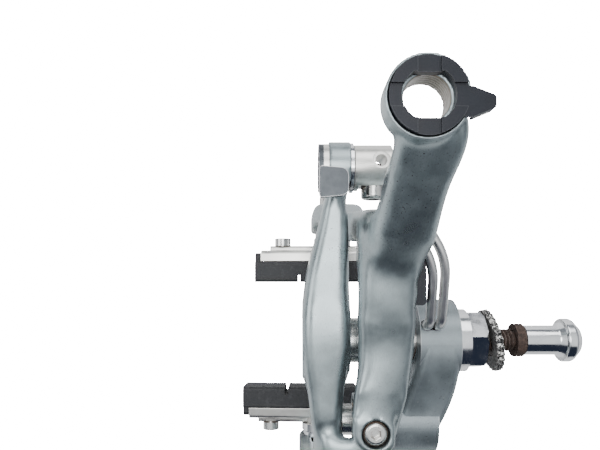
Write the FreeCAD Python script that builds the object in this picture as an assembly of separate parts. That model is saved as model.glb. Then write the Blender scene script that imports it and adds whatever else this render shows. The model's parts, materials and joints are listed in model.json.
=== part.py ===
"""Dual-pivot side-pull caliper brake for a road bicycle, one STEP file per separate piece.

Millimetres. +X runs rearwards along the mounting bolt, +Y is the cable side and +Z is up.
The origin is on the bolt's axis, at the seat face of the flange nut.
"""
import FreeCAD, Part
import math
import os

V = FreeCAD.Vector
os.makedirs("parts", exist_ok=True)

# Running clearances between pieces that turn or slide on each other, and between fixed ones
RUN_GAP = 0.05
SEAT_GAP = 0.02
FREE_GAP = 0.3

# Mounting bolt and what is screwed on it behind the brake
BOLT_D = 6.0
THREAD_CORE_D = 5.4
THREAD_RELIEF = 0.05
BARE_THREAD_LEN = 8.6
BOLT_REACH = 19.0
SHANK_D = 8.0
FLANGE_D = 16.8
FLANGE_T = 3.3
HEX_T = 4.6
HEX_FLATS = 14.0
HEX_TURN = 17.8
HEX_EDGE = 0.4
HEX_SLOPE = 0.83
SET_SCREW_D = 3.0
SET_SCREW_LEN = 3.4
SET_SCREW_KEY = 1.5
WASHER_D = 16.8
WASHER_T = 1.8
WASHER_HOLE_D = 8.4
WASHER_TILT = 11.0
WASHER_TEETH = 26
WASHER_TOOTH = 0.55
RING_D = 8.9
RING_T = 2.3
SLEEVE_D = 8.0
SLEEVE_LEN = 9.1
SLEEVE_NECK = 1.3
SLEEVE_FLANGE_D = 11.7
SLEEVE_FLANGE_T = 2.4
SLEEVE_DOME = 2.2
SLEEVE_KEY = 5.0
SLEEVE_KEY_DEPTH = 5.5
SLEEVE_FLOOR = 1.0

# Layers of the brake along the bolt, from the flange forwards
BRACKET_T = 10.5
BRACKET_GAP = 2.8
STOP_ARM_T = 13.6
ARM_GAP = 1.2
ANCHOR_ARM_T = 12.2

# Side pivot
PIVOT_Y = -22.0
PIVOT_Z = -2.0
PIVOT_BOLT_D = 6.0
PIVOT_HEAD_D = 8.4
PIVOT_HEAD_T = 3.0
PIVOT_KEY = 4.0
PIVOT_BOSS_D = 14.4
PIVOT_BOSS_T = 9.7
BUSH_WALL = 1.4
THRUST_T = 0.6
BRACKET_BOSS_D = 22.0
BRACKET_EAR_D = 17.0
BRACKET_EAR_T = 11.4
WEB_T = 3.9
WEB_SETBACK = 0.1

# Front arm and its centre pivot
ANCHOR_Y = 45.3
ANCHOR_Z = 6.0
ANCHOR_BOSS_D = 13.4
ANCHOR_BOSS_T = 5.4
HUB_D = 22.0
COLLAR_D = 12.0
RECESS_D = 16.0
RECESS_DEPTH = 5.4
FRONT_NUT_FLATS = 10.0
FRONT_NUT_T = 3.0
CAP_T = 1.3
LEDGE_T = 3.6
LEDGE_TOP_Z = 13.2
LEDGE_SETBACK = 4.5
LEDGE_OVERHANG = 1.6
LEDGE_OUT = 10.0
RISER_W = 7.0
RISER_LOW_Z = 3.0

# Quick release at the cable anchor
CAM_HEAD_D = 12.4
CAM_HEAD_T = 1.3
CAM_SHAFT_D = 6.0
CAM_EDGE = 0.4
CAM_WASHER_D = 12.8
CAM_WASHER_T = 0.8
SPOOL_D = 11.8
SPOOL_LEN = 9.8
SPOOL_GAP = 0.9
LEVER_T = 1.3
LEVER_WIDTH = 7.2
LEVER_REACH = 8.8
LEVER_PLATE_T = 1.8
LEVER_RISE = 2.6
CABLE_HOLE_D = 3.0
CABLE_SINK_D = 4.5
CABLE_HOLE_SETBACK = 6.8
CABLE_HOLE_OFFSET = 1.2
CABLE_SINK_DEPTH = 1.2
CLAMP_SETBACK = 5.4
CLAMP_BOLT_D = 4.0
CLAMP_SHANK_LEN = 5.9
CLAMP_HEAD_D = 6.5
CLAMP_HEAD_T = 3.2
CLAMP_FLAT = 1.0
CLAMP_KEY = 3.0
CLAMP_EDGE = 0.8

# Rear arm: cable stop, neck and centring screw
STOP_X = -24.9
STOP_Y = 50.9
STOP_TOP_Z = 47.2
STOP_D = 16.4
STOP_HEIGHT = 7.6
STOP_BORE_D = 9.0
STOP_EDGE = 1.6
NECK_ROOM = 1.2
RING_SEAT_D = 15.1
RING_SEAT_DEPTH = 1.3
INDEX_D = 14.9
INDEX_T = 2.4
INDEX_SLOT_W = 10.2
INDEX_SLOT_FLATS = 8.5
INDEX_GROOVE_W = 4.4
INDEX_GROOVE_DEPTH = 0.6
INDEX_TAB_W = 5.7
INDEX_TAB_TIP_W = 2.3
INDEX_TAB_REACH = 5.0
INDEX_TAB_T = 2.2
INDEX_TAB_SHIFT = -1.2
SCREW_X = -30.9
SCREW_Y = -20.0
SCREW_HEAD_D = 5.8
SCREW_HEAD_T = 2.4
SCREW_D = 3.8
SCREW_KEY = 2.5
SCREW_SINK_D = 6.8
SCREW_SINK_DEPTH = 3.0
BLOCK_TOP_Z = 20.2
BLOCK_T = 5.9
BLOCK_END = 4.6
BLOCK_EDGE = 1.2

# Travel from open to closed on the rim: the front arm's turn, and the rear arm's for each degree of it
CLOSING_TURN = 8.2
CLOSING_RATIO = 1.07
CLOSING_ROOM = 1.6
CLOSING_STEPS = (0.25, 0.5, 0.75, 1.0)

# Return spring
WIRE_D = 2.4
STRAND_GAP = 2.8
SPRING_BEND_R = 4.0
SPRING_SWEEP_R = 16.0
SPRING_END_Y = 5.0
SPRING_END_Z = 7.6
SPRING_RISE_Z = 14.0
SPRING_SETBACK = 1.5
LOOP_Y = 28.2
LOOP_Z = 21.0
LOOP_FORWARD = 5.1
CUP_W = 6.8
CUP_LEN = 8.6
CUP_H = 5.4
CUP_FORWARD = 4.0
TAIL_W = 4.8
TAIL_H = 4.6
TAIL_START_Y = 10.4
TAIL_LOW_Z = 14.2

# Brake shoes
SHOE_Z = -47.0
STOP_SIDE_FACE = 15.1
ANCHOR_SIDE_FACE = 21.5
STOP_SIDE_X = -37.4
ANCHOR_SIDE_X = -41.6
SHOE_OFFSET = 0.7
WHEEL_R = 311.0
PAD_LEN = 55.0
PAD_T = 7.1
PAD_H = 10.0
HOLDER_LEN = 51.0
HOLDER_T = 5.7
HOLDER_H = 9.0
RAIL_T = 2.2
RAIL_H = 5.0
RAIL_FLARE = 1.0
SLIT_W = 1.2
SLIT_DEPTH = 2.4
SLIT_PITCH = 12.4
PAD_SCREW_FROM_END = 7.3
PAD_SCREW_D = 3.0
PAD_SCREW_HEAD_D = 5.6
PAD_SCREW_HEAD_T = 2.6
SHOE_BOLT_D = 6.0
SHOE_HEAD_D = 9.0
SHOE_HEAD_T = 4.5
SHOE_KEY = 5.0
SEAT_WASHER_D = 13.0
DOME_WASHER_D = 12.0
INNER_STACK_T = 4.4
OUTER_STACK_T = 2.4
DOME_R = 11.0
FOOT_T = 6.4
FOOT_W = 15.0
FOOT_EDGE = 1.2
SLOT_W = 6.5
SLOT_TOP_Z = -39.0
SLOT_END_Z = -49.0
FOOT_TOP_Z = -32.4

# Places along X that follow from the layers
FLANGE_FRONT = -HEX_T - FLANGE_T
BRACKET_REAR = FLANGE_FRONT - SEAT_GAP
BRACKET_FRONT = BRACKET_REAR - BRACKET_T
STOP_ARM_REAR = BRACKET_FRONT - BRACKET_GAP
STOP_ARM_FRONT = STOP_ARM_REAR - STOP_ARM_T
ANCHOR_ARM_REAR = STOP_ARM_FRONT - ARM_GAP
ANCHOR_ARM_FRONT = ANCHOR_ARM_REAR - ANCHOR_ARM_T
PIVOT_BOSS_FRONT = STOP_ARM_FRONT + 0.4
PIVOT_BOSS_REAR = PIVOT_BOSS_FRONT + PIVOT_BOSS_T
EAR_FRONT = PIVOT_BOSS_REAR + THRUST_T + 2 * RUN_GAP
EAR_REAR = EAR_FRONT + BRACKET_EAR_T
ANCHOR_BOSS_FRONT = ANCHOR_ARM_REAR - ANCHOR_BOSS_T
SPOOL_START = ANCHOR_ARM_REAR + SPOOL_GAP
CLAMP_X = SPOOL_START + CLAMP_SETBACK
CLAMP_SEAT_Y = ANCHOR_Y - SPOOL_D / 2 + CLAMP_FLAT - SEAT_GAP
STOP_FLOOR_Z = STOP_TOP_Z - STOP_HEIGHT
RING_LOW_Z = STOP_TOP_Z - RING_SEAT_DEPTH + SEAT_GAP
SCREW_SEAT_Z = BLOCK_TOP_Z - SCREW_SINK_DEPTH
WEB_FRONT = PIVOT_BOSS_REAR - WEB_T
WEB_REAR = PIVOT_BOSS_REAR - WEB_SETBACK
THREAD_BORE_D = THREAD_CORE_D + 2 * THREAD_RELIEF
HUB_FLOOR = ANCHOR_ARM_FRONT + RECESS_DEPTH
STRAND_X = BRACKET_FRONT + SPRING_SETBACK
LOOP_BEND_R = STRAND_GAP / 2 * 0.97
PAD_SCREW_SETBACK = HOLDER_LEN / 2 - PAD_SCREW_FROM_END


def rod(diameter, x_from, x_to, y=0.0, z=0.0):
    """Solid cylinder along X."""
    return Part.makeCylinder(diameter / 2, x_to - x_from, V(x_from, y, z), V(1, 0, 0))


def outline(corners, radii):
    """Closed wire through corners, each rounded by its radius with a tangent arc."""
    count = len(corners)
    edges = []
    ends = []
    for i, corner in enumerate(corners):
        back = (corners[i - 1] - corner).normalize()
        ahead = (corners[(i + 1) % count] - corner).normalize()
        half = back.getAngle(ahead) / 2
        reach = radii[i] / math.tan(half)
        bisector = (back + ahead).normalize()
        middle = corner + bisector * (radii[i] / math.sin(half) - radii[i])
        ends.append((corner + back * reach, middle, corner + ahead * reach))
    for i in range(count):
        start, middle, end = ends[i]
        before = ends[i - 1][2]
        if before.distanceToPoint(start) > 1e-6:
            edges.append(Part.makeLine(before, start))
        if radii[i] > 0:
            edges.append(Part.Arc(start, middle, end).toShape())
    return Part.Wire(edges)


def plate(corners, radii, direction):
    """Rounded outline extruded along a direction."""
    return Part.Face(outline(corners, radii)).extrude(direction)


def hexagon(flats, x_from, x_to, y=0.0, z=0.0, turn=0.0):
    """Hexagonal prism along X."""
    radius = flats / math.sqrt(3)
    corners = []
    for step in range(6):
        angle = math.radians(60 * step + turn)
        corners.append(V(x_from, y + radius * math.cos(angle), z + radius * math.sin(angle)))
    return plate(corners, [0] * 6, V(x_to - x_from, 0, 0))


def limb(stations, straight_down=False):
    """Forged arm lofted through rounded sections.

    A station is (y, z, front x, rear x, width across the path, corner radius).
    Each section stands square to the line between its two neighbours, and the last one
    may instead lie level, to run straight down into a foot.
    """
    wires = []
    for i, (y, z, front, rear, width, corner) in enumerate(stations):
        before = stations[max(i - 1, 0)]
        after = stations[min(i + 1, len(stations) - 1)]
        along = V(0, after[0] - before[0], after[1] - before[1]).normalize()
        if straight_down and i == len(stations) - 1:
            along = V(0, 0, -1)
        across = V(0, -along.z, along.y) * (width / 2)
        middle = V(0, y, z)
        corners = [
            middle + across + V(front, 0, 0),
            middle + across + V(rear, 0, 0),
            middle - across + V(rear, 0, 0),
            middle - across + V(front, 0, 0),
        ]
        wires.append(outline(corners, [corner] * 4))
    return Part.makeLoft(wires, True, False, False, 3)


def bent_wire(points, bends, diameter):
    """Round wire along straight runs joined by tangent arcs."""
    edges = []
    start = points[0]
    for i in range(1, len(points) - 1):
        back = (points[i - 1] - points[i]).normalize()
        ahead = (points[i + 1] - points[i]).normalize()
        half = back.getAngle(ahead) / 2
        reach = bends[i - 1] / math.tan(half)
        bisector = (back + ahead).normalize()
        middle = points[i] + bisector * (bends[i - 1] / math.sin(half) - bends[i - 1])
        edges.append(Part.makeLine(start, points[i] + back * reach))
        start = points[i] + ahead * reach
        edges.append(Part.Arc(points[i] + back * reach, middle, start).toShape())
    edges.append(Part.makeLine(start, points[-1]))
    path = Part.Wire(edges)
    section = Part.Wire(Part.makeCircle(diameter / 2, points[0], points[1] - points[0]))
    return path.makePipeShell([section], True, False)


def save(name, shape):
    """Write one piece to its own file."""
    shape = shape.removeSplitter()
    print(name, len(shape.Solids), round(shape.Volume, 1), shape.isValid())
    shape.exportStep(f"parts/{name}.step")


def mounting_bolt():
    """Centre bolt: shank through the arms, thinner core under the nuts, full width where the thread is bare."""
    bolt = rod(THREAD_CORE_D, ANCHOR_ARM_FRONT + CAP_T + FREE_GAP, BOLT_REACH)
    bolt = bolt.fuse(rod(SHANK_D, HUB_FLOOR - RUN_GAP / 2, BRACKET_REAR - SEAT_GAP))
    return bolt.fuse(rod(BOLT_D, 0, BARE_THREAD_LEN))


def flange_nut():
    """Round flange that backs the bracket, with its hex behind it."""
    flange = rod(FLANGE_D, FLANGE_FRONT, -HEX_T)
    hexagonal = hexagon(HEX_FLATS, -HEX_T, 0, turn=HEX_TURN)
    inner = HEX_FLATS / 2 + HEX_EDGE
    corner_cut = Part.makeCone(inner + HEX_T * HEX_SLOPE, inner, HEX_T, V(-HEX_T, 0, 0), V(1, 0, 0))
    nut = flange.fuse(hexagonal.common(corner_cut))
    nut = nut.cut(rod(THREAD_BORE_D, FLANGE_FRONT, 0))
    return nut.cut(set_screw_hole())


def set_screw_frame():
    """Direction from the axis to the hex flat that holds the set screw, and its middle along X."""
    angle = math.radians(HEX_TURN - 90)
    return V(0, math.cos(angle), math.sin(angle)), -HEX_T / 2


def set_screw_hole():
    """Hole through one hex flat."""
    outward, x = set_screw_frame()
    start = V(x, 0, 0) + outward * (THREAD_CORE_D / 2)
    return Part.makeCylinder(SET_SCREW_D / 2 + SEAT_GAP, HEX_FLATS, start, outward)


def set_screw():
    """Small headless screw with a hex socket."""
    outward, x = set_screw_frame()
    start = V(x, 0, 0) + outward * (THREAD_BORE_D / 2)
    body = Part.makeCylinder(SET_SCREW_D / 2, SET_SCREW_LEN, start, outward)
    key = hexagon(SET_SCREW_KEY, 0, SET_SCREW_LEN / 2)
    key.rotate(V(0, 0, 0), V(0, 0, 1), 90)
    key.rotate(V(0, 0, 0), V(1, 0, 0), HEX_TURN - 90)
    key.translate(start + outward * (SET_SCREW_LEN / 2))
    return body.cut(key)


def serrated_washer():
    """Toothed washer that hangs askew on the bare thread."""
    corners = []
    for step in range(2 * WASHER_TEETH):
        radius = WASHER_D / 2 - (step % 2) * WASHER_TOOTH
        angle = math.pi * step / WASHER_TEETH
        corners.append(V(-WASHER_T / 2, radius * math.cos(angle), radius * math.sin(angle)))
    disc = plate(corners, [0] * len(corners), V(WASHER_T, 0, 0))
    disc = disc.cut(rod(WASHER_HOLE_D, -WASHER_T, WASHER_T))
    disc.rotate(V(0, 0, 0), V(0, 0, 1), WASHER_TILT)
    tilt = math.radians(WASHER_TILT)
    lean = WASHER_D / 2 * math.sin(tilt) + WASHER_T / 2 * math.cos(tilt)
    disc.translate(V(lean + SEAT_GAP, 0, 0))
    return disc


def lock_ring():
    """Ring carried at the mouth of the sleeve nut."""
    start = BARE_THREAD_LEN + RUN_GAP
    return rod(RING_D, start, start + RING_T).cut(rod(THREAD_BORE_D, start, start + RING_T))


def sleeve_nut():
    """Recessed sleeve nut: barrel, flange, domed end and hex socket."""
    start = BARE_THREAD_LEN + 2 * RUN_GAP + RING_T
    barrel_end = start + SLEEVE_LEN
    flange_start = barrel_end + SLEEVE_NECK
    flange_end = flange_start + SLEEVE_FLANGE_T
    tip = flange_end + SLEEVE_DOME
    half = SLEEVE_D / 2
    rim = SLEEVE_FLANGE_D / 2
    chamfer = 0.4
    profile = [
        V(start, 0, 0),
        V(start, half - chamfer, 0),
        V(start + chamfer, half, 0),
        V(barrel_end, half, 0),
        V(flange_start, half + 0.8, 0),
        V(flange_start, rim, 0),
        V(flange_end, rim, 0),
        V(tip, half - 0.4, 0),
        V(tip, 0, 0),
    ]
    radii = [0, 0, 0, 0.8, 0, 0.5, 1.2, 0.8, 0]
    nut = Part.Face(outline(profile, radii)).revolve(V(0, 0, 0), V(1, 0, 0), 360)
    nut = nut.cut(rod(THREAD_BORE_D, start, tip - SLEEVE_KEY_DEPTH - SLEEVE_FLOOR))
    return nut.cut(hexagon(SLEEVE_KEY, tip - SLEEVE_KEY_DEPTH, tip))


def pivot_bracket():
    """Cranked plate that ties the centre bolt to the side pivot."""
    ear = (PIVOT_Y, PIVOT_Z)
    body = limb([
        (BRACKET_BOSS_D / 4, 0, BRACKET_FRONT, BRACKET_REAR, BRACKET_BOSS_D * 0.86, 2.4),
        (0, 0, BRACKET_FRONT, BRACKET_REAR, BRACKET_BOSS_D, 2.4),
        (ear[0] * 0.56, ear[1] / 2, (BRACKET_FRONT + EAR_FRONT) / 2, BRACKET_REAR - 0.6, BRACKET_EAR_D, 2.2),
        (ear[0], ear[1], EAR_FRONT, EAR_REAR, BRACKET_EAR_D, 2.0),
    ])
    body = body.fuse(rod(BRACKET_BOSS_D, BRACKET_FRONT, BRACKET_REAR))
    body = body.fuse(rod(BRACKET_EAR_D, EAR_FRONT, EAR_REAR, *ear))
    body = body.cut(rod(FLANGE_D + 2 * FREE_GAP, BRACKET_REAR, BRACKET_REAR + BRACKET_T))
    body = body.cut(rod(COLLAR_D + 2 * FREE_GAP, BRACKET_FRONT - BRACKET_T, BRACKET_FRONT))
    body = body.cut(rod(BRACKET_EAR_D + 2 * FREE_GAP, EAR_FRONT - BRACKET_EAR_T, EAR_FRONT, *ear))
    body = body.cut(rod(SHANK_D + 2 * SEAT_GAP, BRACKET_FRONT - BRACKET_T, BRACKET_REAR + BRACKET_T))
    body = body.cut(rod(PIVOT_BOLT_D + 2 * SEAT_GAP, EAR_FRONT - BRACKET_T, EAR_REAR + BRACKET_T, *ear))
    return body.cut(spring_slot())


def spring_points():
    """Route of the spring wire: two ends in the bracket, its closed loop in the arm."""
    rear_x = STRAND_X + STRAND_GAP
    return [
        V(STRAND_X, SPRING_END_Y, SPRING_END_Z),
        V(STRAND_X, SPRING_END_Y, SPRING_RISE_Z),
        V(STRAND_X - 0.2, LOOP_Y - 8.7, LOOP_Z - 2.0),
        V(STRAND_X - LOOP_FORWARD, LOOP_Y, LOOP_Z),
        V(STRAND_X - LOOP_FORWARD + 2.3, LOOP_Y + 1.6, LOOP_Z),
        V(rear_x - 0.2, LOOP_Y - 6.7, LOOP_Z - 1.4),
        V(rear_x, SPRING_END_Y, SPRING_RISE_Z),
        V(rear_x, SPRING_END_Y, SPRING_END_Z),
    ]


def spring_slot():
    """Slot in the bracket's top that takes both ends of the spring."""
    half = WIRE_D / 2 + 2 * RUN_GAP
    low = SPRING_END_Z - FREE_GAP
    corners = [
        V(STRAND_X - half, SPRING_END_Y - half, low),
        V(STRAND_X + STRAND_GAP + half, SPRING_END_Y - half, low),
        V(STRAND_X + STRAND_GAP + half, SPRING_END_Y + half, low),
        V(STRAND_X - half, SPRING_END_Y + half, low),
    ]
    return plate(corners, [half * 0.95] * 4, V(0, 0, BRACKET_BOSS_D))


def spring_wire(diameter):
    """Wire of a diameter along the spring's route."""
    sweep = [SPRING_BEND_R, SPRING_SWEEP_R]
    return bent_wire(spring_points(), sweep + [LOOP_BEND_R] * 2 + sweep[::-1], diameter)


def return_spring():
    """Hairpin of steel wire."""
    return spring_wire(WIRE_D)


def holder_block():
    """Outer form of the plastic piece that holds the spring's loop, with its tail along the arm."""
    front = STOP_ARM_REAR - CUP_FORWARD
    start = LOOP_Y + CUP_LEN / 2 - CUP_LEN - 0.3
    low = LOOP_Z - CUP_H / 2
    cup = plate(
        [V(front, start, low), V(front + CUP_W, start, low),
         V(front + CUP_W, start + CUP_LEN, low), V(front, start + CUP_LEN, low)],
        [1.5] * 4, V(0, 0, CUP_H))
    tail_front = STOP_ARM_REAR - TAIL_W / 2
    tail = plate(
        [V(tail_front, TAIL_START_Y, TAIL_LOW_Z), V(tail_front + TAIL_W, TAIL_START_Y, TAIL_LOW_Z),
         V(tail_front + TAIL_W, start + 1.4, TAIL_LOW_Z), V(tail_front, start + 1.4, TAIL_LOW_Z)],
        [1.0] * 4, V(0, 0, TAIL_H))
    return cup.fuse(tail)


def spring_holder():
    """Plastic piece in the rear arm, hollowed for the wire's loop."""
    return holder_block().cut(spring_wire(WIRE_D + 4 * RUN_GAP))


def side_pivot_bolt():
    """Axle of the rear arm, screwed into the bracket, with a socket head in front."""
    seat = PIVOT_BOSS_FRONT - RUN_GAP
    head = rod(PIVOT_HEAD_D, seat - PIVOT_HEAD_T, seat, PIVOT_Y, PIVOT_Z)
    shank = rod(PIVOT_BOLT_D, seat, EAR_REAR, PIVOT_Y, PIVOT_Z)
    key = hexagon(PIVOT_KEY, seat - PIVOT_HEAD_T, seat - PIVOT_HEAD_T / 4, PIVOT_Y, PIVOT_Z)
    return head.fuse(shank).cut(key)


def side_bush():
    """Plain bearing of the rear arm."""
    inner = PIVOT_BOLT_D + 2 * RUN_GAP
    bush = rod(inner + 2 * BUSH_WALL, PIVOT_BOSS_FRONT, PIVOT_BOSS_REAR, PIVOT_Y, PIVOT_Z)
    return bush.cut(rod(inner, PIVOT_BOSS_FRONT, PIVOT_BOSS_REAR, PIVOT_Y, PIVOT_Z))


def thrust_washer(hole, outer, x_from, y=0.0, z=0.0):
    """Thin flat washer along X."""
    return rod(outer, x_from, x_from + THRUST_T, y, z).cut(rod(hole, x_from, x_from + THRUST_T, y, z))


def centre_bush():
    """Plain bearing of the front arm."""
    inner = SHANK_D + 2 * RUN_GAP
    return rod(inner + 2 * BUSH_WALL, HUB_FLOOR, ANCHOR_ARM_REAR).cut(rod(inner, HUB_FLOOR, ANCHOR_ARM_REAR))


def bolt_collar():
    """Spacer between the bracket and the front arm."""
    start = ANCHOR_ARM_REAR + THRUST_T + 2 * RUN_GAP
    collar = rod(COLLAR_D, start, BRACKET_FRONT - SEAT_GAP)
    return collar.cut(rod(SHANK_D + 2 * SEAT_GAP, start, BRACKET_FRONT - SEAT_GAP))


def front_nut():
    """Nut in the front arm's recess."""
    rear = HUB_FLOOR - THRUST_T - RUN_GAP
    return hexagon(FRONT_NUT_FLATS, rear - FRONT_NUT_T, rear).cut(rod(THREAD_BORE_D, rear - FRONT_NUT_T, rear))


def front_cap():
    """Low domed cover pressed into the front arm's recess."""
    half = RECESS_D / 2 - SEAT_GAP
    profile = [
        V(ANCHOR_ARM_FRONT + CAP_T, 0, 0),
        V(ANCHOR_ARM_FRONT + CAP_T, half, 0),
        V(ANCHOR_ARM_FRONT + 0.3, half, 0),
        V(ANCHOR_ARM_FRONT, half * 0.6, 0),
        V(ANCHOR_ARM_FRONT, 0, 0),
    ]
    return Part.Face(outline(profile, [0, 0, 0.2, 3.0, 0])).revolve(V(0, 0, 0), V(1, 0, 0), 360)


def foot(bolt_x, foot_y):
    """Slotted end of an arm: the round-ended plate to add, and the slot to cut."""
    low = foot_y - FOOT_T / 2
    high = foot_y + FOOT_T / 2
    front = bolt_x - FOOT_W / 2
    rear = bolt_x + FOOT_W / 2
    flat = plate(
        [V(front, low, FOOT_TOP_Z), V(rear, low, FOOT_TOP_Z), V(rear, high, FOOT_TOP_Z), V(front, high, FOOT_TOP_Z)],
        [FOOT_EDGE] * 4, V(0, 0, SLOT_END_Z - FOOT_TOP_Z))
    round_end = Part.makeCylinder(FOOT_W / 2, FOOT_T, V(bolt_x, low, SLOT_END_Z), V(0, 1, 0))
    round_end = round_end.makeFillet(FOOT_EDGE, [round_end.Edges[0], round_end.Edges[2]])
    half = SLOT_W / 2
    corners = [
        V(bolt_x - half, low - 1, SLOT_TOP_Z + half),
        V(bolt_x + half, low - 1, SLOT_TOP_Z + half),
        V(bolt_x + half, low - 1, SLOT_END_Z - half),
        V(bolt_x - half, low - 1, SLOT_END_Z - half),
    ]
    slot = plate(corners, [half * 0.98] * 4, V(0, FOOT_T + 2, 0))
    return flat.fuse(round_end), slot


def anchor_arm():
    """Front arm: cable anchor boss, hub on the centre bolt, leg to the far shoe and centring ledge."""
    foot_y = -(ANCHOR_SIDE_FACE + PAD_T + HOLDER_T + INNER_STACK_T + FOOT_T / 2)
    foot_front = ANCHOR_SIDE_X - FOOT_W / 2
    foot_rear = ANCHOR_SIDE_X + FOOT_W / 2
    front = ANCHOR_ARM_FRONT
    rear = ANCHOR_ARM_REAR
    arm = limb([
        (ANCHOR_Y, ANCHOR_Z, ANCHOR_BOSS_FRONT, rear, ANCHOR_BOSS_D * 0.9, 1.6),
        (ANCHOR_Y * 0.81, ANCHOR_Z * 0.86, ANCHOR_BOSS_FRONT - 1.2, rear - 0.9, 10.6, 2.2),
        (ANCHOR_Y * 0.55, ANCHOR_Z * 0.7, front + 2.8, rear - 0.3, 13.2, 2.8),
        (HUB_D * 0.55, 3.0, front + 0.3, rear, HUB_D * 0.84, 3.0),
        (0, 1.6, front, rear, HUB_D, 3.0),
        (-HUB_D * 0.55, 3.0, front + 1.2, rear - 1.4, HUB_D * 0.82, 3.0),
        (foot_y * 0.55, 3.4, front + 2.8, rear - 2.2, 15.0, 2.6),
        (foot_y * 0.8, -1.8, front + 3.0, rear - 1.3, 13.4, 2.6),
        (foot_y * 0.96, -12.0, front + 2.4, rear - 0.6, 11.4, 2.6),
        (foot_y * 1.01, -23.0, foot_front + 1.2, foot_rear - 1.0, 8.4, 2.2),
        (foot_y, FOOT_TOP_Z, foot_front, foot_rear, FOOT_T, FOOT_EDGE),
    ], straight_down=True)
    arm = arm.cut(Part.makeBox(
        ARM_GAP + STOP_ARM_T, ANCHOR_Y - PIVOT_Y + 2 * HUB_D, 2 * HUB_D + ANCHOR_Z,
        V(rear, PIVOT_Y - HUB_D / 2, PIVOT_Z - PIVOT_BOSS_D)))
    arm = arm.fuse(rod(HUB_D, front, rear))
    arm = arm.fuse(rod(ANCHOR_BOSS_D, ANCHOR_BOSS_FRONT, rear, ANCHOR_Y, ANCHOR_Z))
    arm = arm.cut(rod(
        CAM_HEAD_D + 2 * FREE_GAP, ANCHOR_BOSS_FRONT - ANCHOR_BOSS_T, ANCHOR_BOSS_FRONT, ANCHOR_Y, ANCHOR_Z))
    end, slot = foot(ANCHOR_SIDE_X, foot_y)
    arm = arm.fuse(end).fuse(centring_ledge())
    arm = arm.cut(slot)
    arm = arm.cut(rod(RECESS_D, front - RECESS_DEPTH, HUB_FLOOR))
    arm = arm.cut(rod(SHANK_D + 2 * RUN_GAP + 2 * BUSH_WALL + 2 * SEAT_GAP, HUB_FLOOR, rear + ARM_GAP))
    return arm.cut(rod(
        CAM_SHAFT_D + 2 * RUN_GAP, ANCHOR_BOSS_FRONT - ANCHOR_BOSS_T, rear + ARM_GAP, ANCHOR_Y, ANCHOR_Z))


def centring_ledge():
    """Lug of the front arm that reaches under the centring screw."""
    low = LEDGE_TOP_Z - LEDGE_T
    front = ANCHOR_ARM_FRONT + LEDGE_SETBACK
    rear = SCREW_X + LEDGE_OVERHANG
    outer = SCREW_Y - LEDGE_OUT
    corners = [
        V(front, outer, low),
        V(rear, outer, low),
        V(rear, SCREW_Y + 3.0, low),
        V(rear - 4.6, SCREW_Y + 3.0, low),
        V(rear - 5.6, SCREW_Y - 3.4, low),
        V(front, SCREW_Y - 2.0, low),
    ]
    lug = plate(corners, [2.5, 3.5, 1.2, 1.2, 1.5, 2.0], V(0, 0, LEDGE_T))
    riser_rear = ANCHOR_ARM_REAR - 2 * ARM_GAP
    riser_inner = outer + RISER_W
    riser = plate(
        [V(front, outer + 0.5, RISER_LOW_Z), V(riser_rear, outer + 0.5, RISER_LOW_Z),
         V(riser_rear, riser_inner, RISER_LOW_Z), V(front, riser_inner, RISER_LOW_Z)],
        [1.5] * 4, V(0, 0, LEDGE_TOP_Z - RISER_LOW_Z))
    return lug.fuse(riser)


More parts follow.
